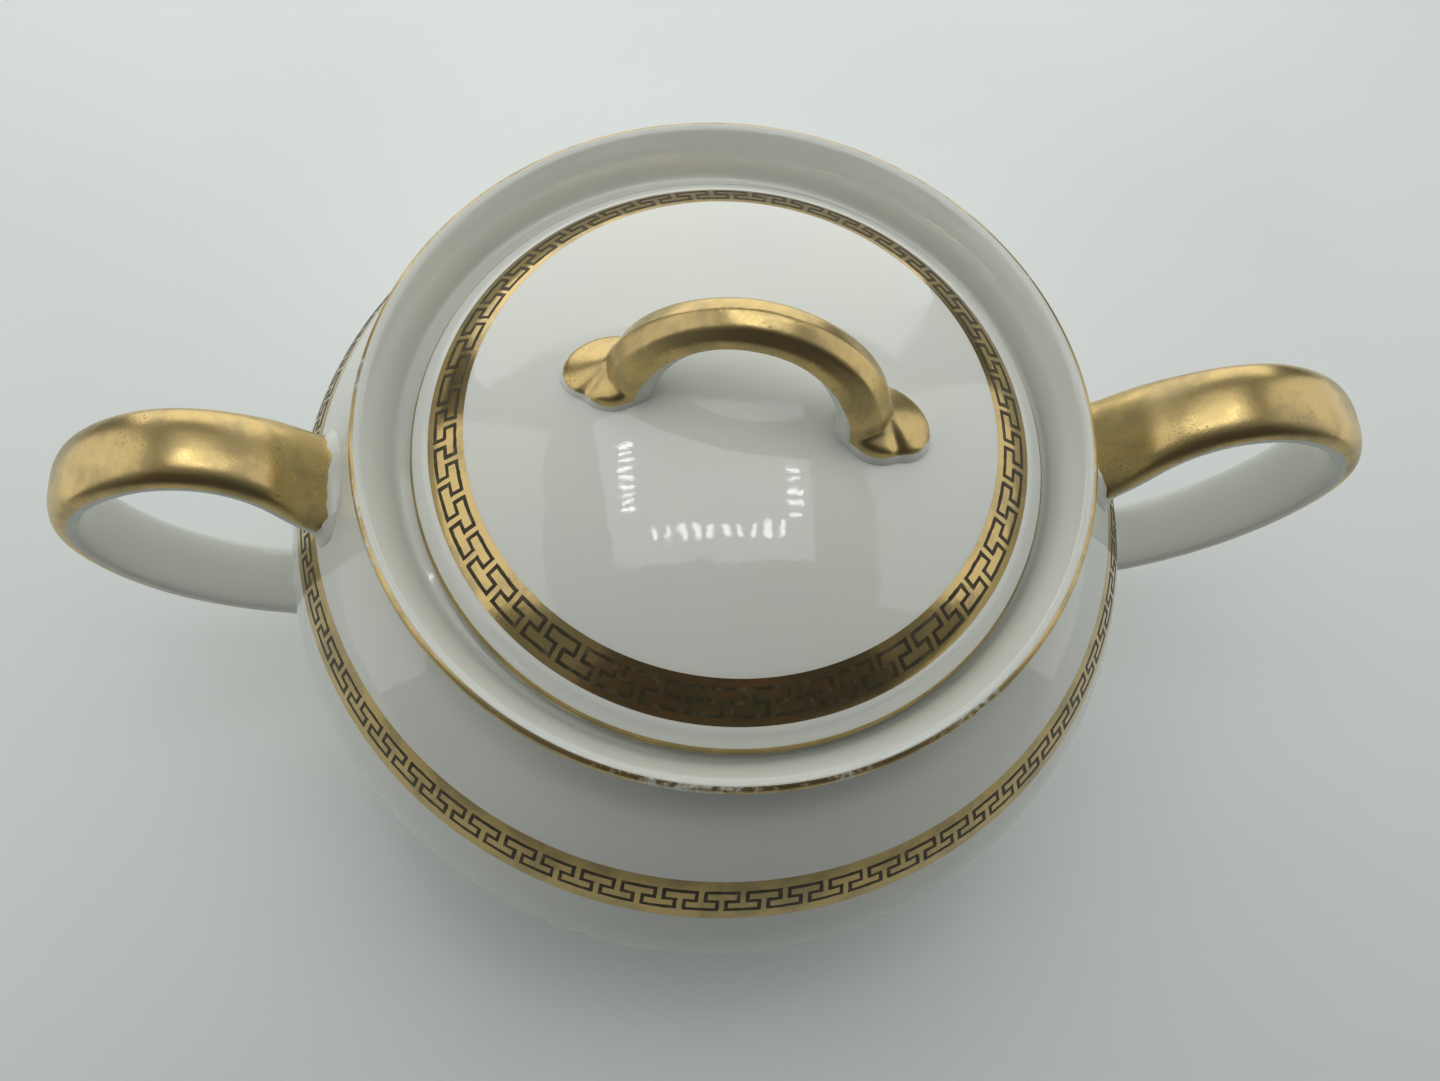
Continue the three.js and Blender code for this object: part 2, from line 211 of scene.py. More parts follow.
def eased(corners, steps=8):
    """The points of an outline, with each corner that asks for it rounded off."""
    points = []
    for i, (radius, height, ease) in enumerate(corners):
        at = np.array([radius, height])
        if not ease:
            points.append(at)
            continue
        before, after = (np.array(corners[j][:2]) for j in (i - 1, i + 1))
        start = at + (before - at) / np.linalg.norm(before - at) * ease
        end = at + (after - at) / np.linalg.norm(after - at) * ease
        for t in np.linspace(0, 1, steps + 1):
            points.append((1 - t) ** 2 * start + 2 * t * (1 - t) * at + t * t * end)
    return np.array(points)


def belly_angle(s, height, rise):
    return math.asin(max(-1.0, min(1.0, (height - s.belly_height) / rise)))


def underside_drop(s):
    return s.belly_height - s.foot_height + s.underside_sink


def outside_radius(s, height):
    """The bowl's outside radius at a height or heights, between the foot and the neck."""
    height = np.asarray(height, float)
    above = height > s.belly_height
    reach = np.where(above, s.shoulder_reach, s.underside_reach)
    rise = np.where(above, s.shoulder_rise, underside_drop(s))
    lift = np.clip((height - s.belly_height) / rise, -1, 1)
    return s.belly_radius - reach + reach * np.sqrt(1 - lift**2)


def bowl_outline(s, lid):
    neck = s.rim_height - s.neck_depth
    lip = s.rim_height - s.seat_depth
    under = lip - s.ledge_thickness
    floor = s.foot_recess + s.floor_thickness
    floor_drop = s.belly_height - floor
    collar = lid.radius + lid.play
    mouth = collar - s.ledge_width
    foot_inside = s.foot_radius - s.foot_width
    roll = s.rim_thickness / 2
    shoulder = s.belly_radius - s.shoulder_reach
    underside = s.belly_radius - s.underside_reach
    foot_meets = belly_angle(s, s.foot_height, underside_drop(s))
    shoulder_end = belly_angle(s, neck - 3.2 * MM, s.shoulder_rise)
    wall_top = belly_angle(s, under - s.wall, s.shoulder_rise - s.wall)
    return eased([
        (0, s.foot_recess, 0),
        (foot_inside, s.foot_recess, 1.2 * MM),
        (foot_inside, 0, 0.6 * MM),
        (s.foot_radius, 0, 0.6 * MM),
        (s.foot_radius - 0.6 * MM, s.foot_height - 0.6 * MM, 0.8 * MM),
        *arc(underside, s.belly_height, s.underside_reach, underside_drop(s), foot_meets, 0),
        *arc(shoulder, s.belly_height, s.shoulder_reach, s.shoulder_rise, 0, shoulder_end)[1:],
        (s.rim_radius - s.neck_inset, neck, 2.6 * MM),
        *arc(s.rim_radius - roll, s.rim_height - roll, roll, roll, math.radians(-20), math.radians(150), 16),
        (collar + 1.0 * MM, lip + 2.3 * MM, 1.6 * MM),
        (collar, lip, 0.7 * MM),
        (mouth, lip, 0.6 * MM),
        (mouth, under, 0.8 * MM),
        *arc(shoulder, s.belly_height, s.shoulder_reach - s.wall, s.shoulder_rise - s.wall, wall_top, 0),
        *arc(underside, s.belly_height, s.underside_reach - s.wall, floor_drop, 0, -math.pi / 2)[1:],
        (0, floor, 0),
    ])


def shoulder_foot(lid):
    """Height of the foot of the lid's sloping shoulder, counted down from the lid's top."""
    return LID_HIGH.z - lid.dome_rise - lid.band_drop


def brim_edge(lid):
    """Height of the top of the lid's edge."""
    return shoulder_foot(lid) - lid.brim_rise


def brim_corners(lid):
    """The lid's outline from its edge up the brim to the foot of the shoulder."""
    return [
        (lid.radius, brim_edge(lid) - lid.edge, 0.6 * MM),
        (lid.radius, brim_edge(lid), 0.7 * MM),
        (lid.band_outer + 0.5 * MM, shoulder_foot(lid) - 0.12 * MM, 0.45 * MM),
    ]


def dome_radius(lid):
    return (lid.band_inner**2 + lid.dome_rise**2) / (2 * lid.dome_rise)


def dome(lid, depth, reach):
    """Corners from a radius in to the middle of the dome, or of a surface parallel to it at a depth."""
    radius = dome_radius(lid) - depth
    start = math.acos(reach / radius)
    corners = arc(0, LID_HIGH.z - dome_radius(lid), radius, radius, start, math.pi / 2)
    corners[-1] = (0, LID_HIGH.z - depth, 0)
    return corners


def lid_outline(s, lid):
    flange = lid.radius + lid.play - s.ledge_width - lid.flange_play
    inside = flange - lid.flange_width
    end = LID_LOW.z
    shoulder = [(*lid_shoulder(lid, v)[:2], 0) for v in np.linspace(0, 1, 13)]
    return eased([
        *dome(lid, lid.wall, inside - lid.wall)[::-1],
        (inside, shoulder_foot(lid) - 0.6 * MM, 1.2 * MM),
        (inside + 0.5 * MM, end, 0.6 * MM),
        (flange - 0.5 * MM, end, 0.6 * MM),
        (flange, brim_edge(lid) - lid.edge, 0.3 * MM),
        *brim_corners(lid),
        *shoulder,
        *dome(lid, 0, lid.band_inner)[1:],
    ])


def lid_shoulder(lid, v):
    """A point and outward normal of the lid's sloping shoulder, from its foot at 0 to its top at 1."""
    radius = lid.band_outer + (lid.band_inner - lid.band_outer) * v
    height = shoulder_foot(lid) + lid.band_drop * v + 4 * lid.band_bulge * v * (1 - v)
    slope = np.array([lid.band_drop + 4 * lid.band_bulge * (1 - 2 * v), lid.band_outer - lid.band_inner])
    normal = slope / np.linalg.norm(slope)
    return radius, height, normal[0], normal[1]


def lid_edge(lid, v):
    """A point and outward normal across the lid's edge line, from its lower side at 0."""
    bottom, top, foot = brim_corners(lid)
    corners = eased([(bottom[0], bottom[1] + EDGE_LINE_START, 0), top, (foot[0], foot[1], 0)])
    run = np.concatenate([[0], np.cumsum(np.linalg.norm(np.diff(corners, axis=0), axis=1))])
    at = v * EDGE_LINE_WIDTH
    place, ahead = (
        np.array([np.interp(distance, run, corners[:, k]) for k in range(2)])
        for distance in (at, at + 0.05 * MM)
    )
    way = (ahead - place) / np.linalg.norm(ahead - place)
    return place[0], place[1], way[1], -way[0]


def bowl_shoulder(s, border, v):
    """A point and outward normal of the bowl's shoulder across the border, from its lower edge at 0."""
    low, high = (belly_angle(s, h, s.shoulder_rise) for h in (border.bowl_foot, border.bowl_top))
    a = low + (high - low) * v
    radius = s.belly_radius - s.shoulder_reach + s.shoulder_reach * math.cos(a)
    height = s.belly_height + s.shoulder_rise * math.sin(a)
    normal = np.array([math.cos(a) / s.shoulder_reach, math.sin(a) / s.shoulder_rise])
    normal /= np.linalg.norm(normal)
    return radius, height, normal[0], normal[1]


# Meshes.


def add_mesh(name, vertices, faces, material):
    mesh = bpy.data.meshes.new(name)
    mesh.from_pydata([tuple(v) for v in vertices], [], [tuple(f) for f in faces])
    mesh.validate()
    mesh.shade_smooth()
    mesh.materials.append(material)
    piece = bpy.data.objects.new(name, mesh)
    bpy.context.scene.collection.objects.link(piece)
    return piece


def revolve(name, outline, material, steps=ROUND_STEPS):
    """A turned piece about Z. An outline point on the axis becomes a single vertex."""
    vertices, rings = [], []
    angles = np.linspace(0, 2 * np.pi, steps, endpoint=False)
    for radius, height in outline:
        if radius < 1e-7:
            rings.append([len(vertices)])
            vertices.append((0, 0, height))
            continue
        rings.append(list(range(len(vertices), len(vertices) + steps)))
        vertices += [(radius * math.cos(a), radius * math.sin(a), height) for a in angles]
    faces = []
    for low, high in zip(rings, rings[1:]):
        for i in range(steps):
            j = (i + 1) % steps
            corners = [low[i % len(low)], low[j % len(low)], high[j % len(high)], high[i % len(high)]]
            faces.append(list(dict.fromkeys(corners)))
    return add_mesh(name, vertices, faces, material)


def ring_faces(rings, sides):
    """Four-cornered faces that join each ring of points to the next."""
    return [
        (r * sides + i, r * sides + (i + 1) % sides, (r + 1) * sides + (i + 1) % sides, (r + 1) * sides + i)
        for r in range(rings - 1)
        for i in range(sides)
    ]


def fired_layer(piece):
    """Gives a thin layer its thickness, downwards into the glaze, with crisp edges."""
    layer = piece.modifiers.new("thickness", "SOLIDIFY")
    layer.thickness = FIRED_THICKNESS
    layer.offset = -1
    apply_modifiers(piece)
    piece.data.set_sharp_from_angle(angle=CRISP_ANGLE)
    return piece


def ring_points(surface, angles, across, lift):
    """Points on a ring-shaped surface for matching lists of angles and shares across it."""
    points = []
    for angle, v in zip(angles, across):
        radius, height, out, up = surface(v)
        radius += lift * out
        points.append((radius * math.cos(angle), radius * math.sin(angle), height + lift * up))
    return points


def gold_band(name, surface, material, steps=720, rows=8):
    """A plain band of gold all the way round a ring-shaped surface."""
    angles = np.tile(np.linspace(0, 2 * np.pi, steps, endpoint=False), rows + 1)
    across = np.repeat(np.linspace(0, 1, rows + 1), steps)
    points = ring_points(surface, angles, across, GOLD_LIFT)
    return fired_layer(add_mesh(name, points, ring_faces(rows + 1, steps), material))


# Which cells of one key are printed, from the bottom row up. Columns 0, 2, 4 and 6 are the upright lines.
KEY_UPRIGHTS = (0.0, 0.28, 0.5, 0.78)
KEY_ROWS = ("11101111", "00101000", "11101110", "10000010", "11111110")


def key_line(name, surface, radius, width, units, border, material, seed):
    """The printed key pattern: one line that runs all the way round."""
    half_x = border.line_width / 2 / (2 * math.pi * radius / units)
    half_y = border.line_width / 2 / border.key_height
    columns = [x + side * half_x for x in KEY_UPRIGHTS for side in (-1, 1)]
    rows = [y + side * half_y for y in (0, 0.5, 1) for side in (-1, 1)]
    rng = np.random.default_rng(seed)
    wander = border.unevenness
    angles, across = [], []
    for unit in range(units):
        for x in columns:
            for y in rows:
                slip = rng.normal(0, wander, 2)
                angles.append((unit + x) * 2 * math.pi / units + slip[0] / radius)
                across.append(0.5 + ((y - 0.5) * border.key_height + slip[1]) / width)
    faces = []
    count = len(columns) * units
    for column in range(count):
        for row, cells in enumerate(KEY_ROWS):
            if cells[column % 8] == "1":
                a, b = column * 6 + row, (column + 1) % count * 6 + row
                faces.append((a, b, b + 1, a + 1))
    used = sorted({i for face in faces for i in face})
    place = {old: new for new, old in enumerate(used)}
    points = ring_points(surface, [angles[i] for i in used], [across[i] for i in used], ENAMEL_LIFT)
    return fired_layer(add_mesh(name, points, [[place[i] for i in face] for face in faces], material))


def smooth_path(points, steps):
    """Points evenly spaced along a centripetal curve through the given ones, with their directions."""
    points = np.array(points, float)
    ends = np.vstack([2 * points[0] - points[1], points, 2 * points[-1] - points[-2]])
    dense = []
    for a, b, c, d in zip(ends, ends[1:], ends[2:], ends[3:]):
        knots = np.cumsum([0] + [math.sqrt(np.linalg.norm(q - p)) for p, q in ((a, b), (b, c), (c, d))])
        for t in np.linspace(knots[1], knots[2], 24, endpoint=False):
            layer = [a, b, c, d]
            for depth in (1, 2, 3):
                layer = blossom(layer, knots, t, depth)
            dense.append(layer[0])
    dense.append(points[-1])
    dense = np.array(dense)
    run = np.concatenate([[0], np.cumsum(np.linalg.norm(np.diff(dense, axis=0), axis=1))])
    at = np.linspace(0, run[-1], steps + 1)
    path = np.stack([np.interp(at, run, dense[:, k]) for k in range(points.shape[1])], 1)
    way = np.gradient(path, axis=0)
    return path, way / np.linalg.norm(way, axis=1, keepdims=True), at


def blossom(layer, knots, t, depth):
    """One step of the pyramid that evaluates a curve through four points."""
    spans = {1: ((0, 1), (1, 2), (2, 3)), 2: ((0, 2), (1, 3)), 3: ((1, 2),)}[depth]
    return [
        ((knots[j] - t) * p + (t - knots[i]) * q) / (knots[j] - knots[i])
        for (i, j), p, q in zip(spans, layer, layer[1:])
    ]


def tube_faces(rings, sides):
    """Faces of a tube from end to end, closed by one face at each end."""
    faces = ring_faces(rings, sides)
    faces.append(tuple(range(sides))[::-1])
    faces.append(tuple((rings - 1) * sides + i for i in range(sides)))
    return faces


def squared(wave, exponent):
    """A sine or cosine wave made fuller, by an exponent under 1, or leaner."""
    return np.sign(wave) * np.abs(wave) ** exponent


def paint(piece, name, values):
    """Stores one number for each vertex, for a material to read."""
    attribute = piece.data.attributes.new(name, "FLOAT", "POINT")
    attribute.data.foreach_set("value", np.asarray(values, np.float32))


def face_out(piece):
    """Turns a closed mesh's faces outwards."""
    bm = bmesh.new()
    bm.from_mesh(piece.data)
    bmesh.ops.recalc_face_normals(bm, faces=bm.faces)
    bm.to_mesh(piece.data)
    bm.free()


# Side handles.


def loop_line(s, loop):
    """Middle line of the side handle in the XZ plane. Pairs are shares of the way out and up."""
    top = LOOP_HIGH.z - loop.crown
    tip = LOOP_HIGH.x - loop.crown
    middle = (top + loop.root_low) / 2
    rise = [[-0.06, -0.45], [0.08, 0.09], [0.21, 0.62], [0.37, 0.93], [0.545, 1]]
    bend = [[0.723, 0.917], [0.885, 0.732], [0.985, 0.47], [1, 0.16], [0.938, -0.21]]
    back = [[0.75, 0.456], [0.5, 0.19], [0.225, 0.035], [-0.09, -0.026], [-0.24, -0.04]]
    points = []
    for root, low, high, shares in (
        (loop.root_up, loop.root_up, top, rise),
        (loop.root_up, middle, top, bend),
        (loop.root_low, loop.root_low, middle, back),
    ):
        radius = float(outside_radius(s, root))
        points += [(radius + (tip - radius) * out, 0, low + (high - low) * up) for out, up in shares]
    return points


def loop_handle(name, s, loop, side, material):
    """A strap with a rounded, gilded outer side and a plain inner side, spread with slip at its roots."""
    rings, sides = 260, 72
    path, way, run = smooth_path(loop_line(s, loop), rings - 1)
    along = run / run[-1]
    across = np.array([0.0, 1.0, 0.0])
    outward = np.cross(way, across)
    outward /= np.linalg.norm(outward, axis=1, keepdims=True)
    angles = np.linspace(0, 2 * np.pi, sides, endpoint=False)
    crown = np.sin(angles) > 0
    widening = 1 + 0.3 * np.exp(-(((along - 0.06) / 0.09) ** 2))
    widening += 0.18 * np.exp(-(((along - 0.97) / 0.06) ** 2))
    depth = np.where(crown, loop.crown, loop.back) * squared(np.sin(angles), np.where(crown, 0.9, 0.45))
    width = loop.half_width * squared(np.cos(angles), 0.75)
    section = np.einsum("r,a,k->rak", widening, width, across) + np.einsum("a,rk->rak", depth, outward)
    points = path[:, None, :] + section
    clear = np.hypot(points[..., 0], points[..., 1]) - outside_radius(s, points[..., 2])
    spread = loop.fillet * np.exp(-np.clip(clear, 0, None) / (0.9 * MM))
    points += section / np.linalg.norm(section, axis=2, keepdims=True) * spread[..., None]
    # Distance in millimetres from the edge of the gold, over the gold when it is positive.
    scallop = SCALLOP_DEPTH * np.abs(np.sin(angles * 3 + 0.6)) + 0.1 * np.sin(angles * 13)
    from_root = clear / MM - GILT_INSET - scallop[None, :]
    from_edge = (np.sin(angles) - 0.02) * 5.0
    gilt = np.minimum(from_root, from_edge[None, :])
    points[..., 0] *= side
    points[..., 1] *= side
    handle = add_mesh(name, points.reshape(-1, 3), tube_faces(rings, sides), material)
    face_out(handle)
    paint(handle, "gilt", gilt.ravel())
    return handle


# The bow on the lid, built over the lid's middle with the springing line along X.

BOW_SECTION = ((0, 2.35), (1.75, 1.72), (2.75, 0.3), (2.72, -0.9), (1.75, -2.05), (0, -2.25))


def section_points(steps):
    """The strap's facetted section as (across, outward), closed, in metres."""
    right = np.array(BOW_SECTION) * MM
    left = right[-2:0:-1] * np.array([-1, 1])
    corners = np.vstack([right, left])
    run = np.arange(len(corners) + 1)
    loop = np.vstack([corners, corners[:1]])
    at = np.linspace(0, len(corners), steps, endpoint=False)
    return np.stack([np.interp(at, run, loop[:, k]) for k in range(2)], 1)


def bow_strap(bow):
    rings, sides = 120, 60
    section = section_points(sides)
    vertices = []
    for a in np.linspace(math.pi * 1.05, -math.pi * 0.05, rings):
        out, up = math.cos(a), math.sin(a)
        outward = np.array([out * bow.rise, 0, up * bow.half_span])
        outward /= np.linalg.norm(outward)
        girth = 1 + 0.38 * abs(out) ** 3
        middle = np.array([bow.half_span * out, 0, bow.spring + bow.rise * up])
        for across, high in section:
            vertices.append(middle + girth * across * np.array([0, 1, 0]) + girth * high * outward)
    return vertices, tube_faces(rings, sides)


def dome_height(lid, x, y):
    """Height of the dome's surface above the rim's plane."""
    radius = dome_radius(lid)
    return LID_HIGH.z - BOWL_HIGH.z - radius + np.sqrt(radius**2 - x**2 - y**2)


def leaf(lid, bow, side):
    """A leaf with an outer and a front lobe, which spreads over the dome from one foot of the bow."""
    rings, sides = 26, 120
    around = np.linspace(0, 2 * np.pi, sides, endpoint=False)
    lobes = np.abs(np.cos(1.5 * around)) ** 0.8
    front = np.sin(around) < 0
    outline = np.where(front, 0.86 + 0.14 * lobes, 0.88 + 0.12 * np.cos(around / 2) ** 2)
    reach_x = np.where(np.cos(around) > 0, bow.leaf_length, 0.75 * bow.leaf_length)
    vertices = []
    for share_out in np.linspace(0, 1, rings)[1:]:
        radius = share_out * outline
        x = side * (bow.leaf_centre + reach_x * radius * np.cos(around))
        y = bow.leaf_width * radius * np.sin(around)
        crease = np.exp(-(((around - 5 * np.pi / 3) / 0.2) ** 2)) * share_out
        inward = 0.5 - 0.5 * np.cos(around)
        height = bow.leaf_thickness * (1.6 - 0.95 * share_out * (1 - 0.6 * inward)) * (1 - 0.2 * crease)
        edge = np.clip((1 - share_out) / 0.16, 0, 1)
        height = height * np.sqrt(1 - (1 - edge) ** 2) - 0.6 * MM
        vertices += list(zip(x, y, dome_height(lid, x, y) + height))
    centre_x = side * bow.leaf_centre
    top = dome_height(lid, centre_x, 0) + bow.leaf_thickness
    bottom = top - bow.leaf_thickness - 2.5 * MM
    last = rings - 2
    faces = ring_faces(rings - 1, sides)
    vertices += [(centre_x, 0, top), (centre_x, 0, bottom)]
    count = (last + 1) * sides
    faces += [(count, i, (i + 1) % sides) for i in range(sides)]
    faces += [(count + 1, last * sides + (i + 1) % sides, last * sides + i) for i in range(sides)]
    return vertices, faces


def lid_bow(name, lid, bow, material):
    """The strap and its leaves in one skin, with soft hollows where they meet."""
    vertices, faces = [], []
    for part in (bow_strap(bow), leaf(lid, bow, 1), leaf(lid, bow, -1)):
        start = len(vertices)
        vertices += [tuple(v) for v in part[0]]
        faces += [[i + start for i in face] for face in part[1]]
    piece = add_mesh(name, vertices, faces, material)
    face_out(piece)
    skin = piece.modifiers.new("skin", "REMESH")
    skin.mode = "VOXEL"
    skin.voxel_size = BOW_GRAIN
    soften = piece.modifiers.new("soften", "SMOOTH")
    soften.iterations = BOW_SOFTENING
    soften.factor = 0.5
    apply_modifiers(piece)
    coords = np.empty(len(piece.data.vertices) * 3)
    piece.data.vertices.foreach_get("co", coords)
    x, y, z = coords.reshape(-1, 3).T
    normals = np.empty(len(piece.data.vertices) * 3)
    piece.data.vertices.foreach_get("normal", normals)
    up = normals.reshape(-1, 3)[:, 2]
    # Distance in millimetres from the edge of the gold, over the gold when it is positive.
    over_dome = (z - dome_height(lid, x, y)) / MM
    arch = np.hypot(x / bow.half_span, (z - bow.spring) / bow.rise) - 1
    over_skirt = np.clip(over_dome - SKIRT_HEIGHT, -2, 2)
    outside_arch = arch * bow.half_span / MM + 1.0
    on_leaf = np.where(up > 0.2, over_skirt, np.minimum(over_skirt, outside_arch))
    paint(piece, "gilt", np.where(over_dome < LEAF_REGION, on_leaf, outside_arch))
    return piece


def apply_modifiers(piece):
    """Makes the modified mesh the piece's own."""
    depsgraph = bpy.context.evaluated_depsgraph_get()
    mesh = bpy.data.meshes.new_from_object(piece.evaluated_get(depsgraph))
    piece.modifiers.clear()
    piece.data = mesh
    mesh.shade_smooth()


def seat_on_lid(piece, lid):
    """Turns and moves a piece made about the origin, on the rim's plane, to its place on the lid."""
    place = Matrix.Translation((LID_CENTRE.x, LID_CENTRE.y, 0)) @ Matrix.Rotation(lid.turned, 4, "Z")
    piece.data.transform(place)
    return piece


# Finishes.


def socket(group, name, kind, way, default=None, low=None, high=None):
    made = group.interface.new_socket(name=name, in_out=way, socket_type=kind)
    if default is not None:
        made.default_value = default
    if low is not None:
        made.min_value, made.max_value = low, high
    return made


class Wiring:
    """A short way to add and join nodes of one tree."""

    def __init__(self, tree):
        self.tree = tree

    def node(self, kind, inputs=None, **settings):
        made = self.tree.nodes.new(kind)
        for key, value in settings.items():
            setattr(made, key, value)
        for key, value in (inputs or {}).items():
            self.feed(made.inputs[key], value)
        return made

    def feed(self, target, value):
        if isinstance(value, bpy.types.NodeSocket):
            self.tree.links.new(value, target)
        else:
            target.default_value = value

    def maths(self, operation, *values, clamp=False):
        made = self.node("ShaderNodeMath", operation=operation, use_clamp=clamp)
        for target, value in zip(made.inputs, values):
            self.feed(target, value)
        return made.outputs[0]

    def ramp(self, value, low, high):
        """0 below low, 1 above high, smooth between them. Low may be the larger."""
        made = self.node("ShaderNodeMapRange", interpolation_type="SMOOTHSTEP")
        for key, number in (("Value", value), ("From Min", low), ("From Max", high)):
            self.feed(made.inputs[key], number)
        return made.outputs[0]

    def blend(self, factor, first, second):
        """A mix of two colours."""
        made = self.node("ShaderNodeMix", data_type="RGBA")
        self.feed(made.inputs[0], factor)
        self.feed(made.inputs[6], first)
        self.feed(made.inputs[7], second)
        return made.outputs[2]

    def noise(self, place, scale, detail=2.0, roughness=0.5):
        made = self.node("ShaderNodeTexNoise")
        values = {"Vector": place, "Scale": scale, "Detail": detail, "Roughness": roughness}
        for key, value in values.items():
            self.feed(made.inputs[key], value)
        return made.outputs["Fac"]


def shader_group(name, inputs, outputs):
    """A new shader node group with its sockets, and the place of each point in millimetres."""
    group = bpy.data.node_groups.new(name, "ShaderNodeTree")
    for entry in inputs:
        socket(group, entry[0], entry[1], "INPUT", *entry[2:])
    for entry in outputs:
        socket(group, entry[0], entry[1], "OUTPUT")
    wiring = Wiring(group)
    entrance = wiring.node("NodeGroupInput")
    exit_node = wiring.node("NodeGroupOutput")
    place = wiring.node("ShaderNodeTexCoord").outputs["Object"]
    scaled = wiring.node("ShaderNodeVectorMath", operation="SCALE", inputs={0: place, "Scale": 1 / MM})
    return group, wiring, entrance.outputs, exit_node.inputs, scaled.outputs[0]


COLOUR = "NodeSocketColor"
NUMBER = "NodeSocketFloat"


def glaze_group():
    """Glazed porcelain: a faint drift in colour, scattered specks, a soft ripple and finger smudges."""
    group, w, given, made, place = shader_group(
        "Glaze",
        [
            ("Body", COLOUR, (0.695, 0.71, 0.65, 1)),
            ("Speck", COLOUR, (0.16, 0.14, 0.12, 1)),
            ("Specks", NUMBER, 0.5, 0, 1),
            ("Gloss", NUMBER, 0.07, 0, 1),
        ],
        [("Color", COLOUR), ("Roughness", NUMBER), ("Height", NUMBER)],
    )
    drift = w.noise(place, 0.045, 3)
    warm = w.node("ShaderNodeMix", data_type="RGBA", blend_type="MULTIPLY", inputs={0: 1.0})
    w.feed(warm.inputs[6], given["Body"])
    cool, clean = (0.965, 0.975, 0.985, 1), (1.0, 1.0, 0.985, 1)
    w.feed(warm.inputs[7], w.blend(w.ramp(drift, 0.35, 0.65), cool, clean))
    cells = w.node("ShaderNodeTexVoronoi", inputs={"Vector": place, "Scale": 0.16})
    chance = w.node("ShaderNodeSeparateColor", inputs={0: cells.outputs["Color"]})
    size = w.maths("MULTIPLY", chance.outputs[1], 0.034)
    rare = w.maths("LESS_THAN", chance.outputs[0], w.maths("MULTIPLY", given["Specks"], 0.5))
    dot = w.maths("MULTIPLY", w.maths("LESS_THAN", cells.outputs["Distance"], size), rare)
    strength = w.maths("MULTIPLY", dot, w.maths("ADD", w.maths("MULTIPLY", chance.outputs[2], 0.5), 0.15))
    w.feed(made["Color"], w.blend(strength, warm.outputs[2], given["Speck"]))
    smudge = w.ramp(w.noise(place, 0.11, 4, 0.6), 0.5, 0.75)
    w.feed(made["Roughness"], w.maths("ADD", given["Gloss"], w.maths("MULTIPLY", smudge, 0.07)))
    ripple = w.noise(place, 0.16, 2)
    fine = w.noise(place, 1.1, 2)
    w.feed(made["Height"], w.maths("ADD", ripple, w.maths("MULTIPLY", fine, 0.05)))
    return group


def gold_group():
    """Fired gold: rubbed and burnished patches, dark marks in clusters, and fine scratches in its polish."""
    group, w, given, made, place = shader_group(
        "Fired gold",
        [
            ("Gold", COLOUR, (0.58, 0.43, 0.182, 1)),
            ("Dull", COLOUR, (0.41, 0.32, 0.155, 1)),
            ("Tarnish", COLOUR, (0.12, 0.075, 0.06, 1)),
            ("Marks", NUMBER, 0.5, 0, 1),
            ("Wear", NUMBER, 0.0, 0, 1),
            ("Polish", NUMBER, 0.2, 0, 1),
        ],
        [("Color", COLOUR), ("Roughness", NUMBER), ("Height", NUMBER), ("Worn", NUMBER)],
    )
    patch = w.ramp(w.noise(place, 0.16, 4, 0.6), 0.42, 0.66)
    tone = w.blend(patch, given["Gold"], given["Dull"])
    clusters = w.ramp(w.noise(place, 0.13, 2), 0.5, 0.68)
    grains = w.ramp(w.noise(place, 3.2, 3, 0.7), 0.54, 0.72)
    marks = w.maths("MULTIPLY", w.maths("MULTIPLY", clusters, grains), given["Marks"])
    pits = w.node("ShaderNodeTexVoronoi", inputs={"Vector": place, "Scale": 0.55})
    pit = w.maths("MULTIPLY", w.ramp(pits.outputs["Distance"], 0.13, 0.03), given["Marks"])
    chance = w.node("ShaderNodeSeparateColor", inputs={0: pits.outputs["Color"]})
    pit = w.maths("MULTIPLY", pit, w.maths("LESS_THAN", chance.outputs[0], 0.14))
    dark = w.maths("MAXIMUM", marks, pit)
    w.feed(made["Color"], w.blend(dark, tone, given["Tarnish"]))
    scratch_place = w.node("ShaderNodeMapping", inputs={"Vector": place, "Scale": (0.5, 3.0, 3.0)})
    scratches = w.noise(scratch_place.outputs[0], 1.6, 3, 0.7)
    rough = w.maths("ADD", given["Polish"], w.maths("MULTIPLY", patch, 0.09))
    rough = w.maths("ADD", rough, w.maths("MULTIPLY", dark, 0.3))
    w.feed(made["Roughness"], w.maths("ADD", rough, w.maths("MULTIPLY", scratches, 0.05)))
    swell = w.maths("MULTIPLY", w.noise(place, 0.35, 3), 0.6)
    w.feed(made["Height"], w.maths("SUBTRACT", swell, w.maths("MULTIPLY", dark, 0.2)))
    loss = w.maths("ADD", w.noise(place, 0.09, 2), w.maths("MULTIPLY", w.noise(place, 1.3, 3, 0.6), 0.5))
    threshold = w.maths("SUBTRACT", 1.15, w.maths("MULTIPLY", given["Wear"], 0.62))
    w.feed(made["Worn"], w.ramp(loss, threshold, w.maths("ADD", threshold, 0.2)))
    return group


def group_named(name, build):
    return bpy.data.node_groups.get(name) or build()


def with_alpha(rgb):
    return (*rgb, 1.0)


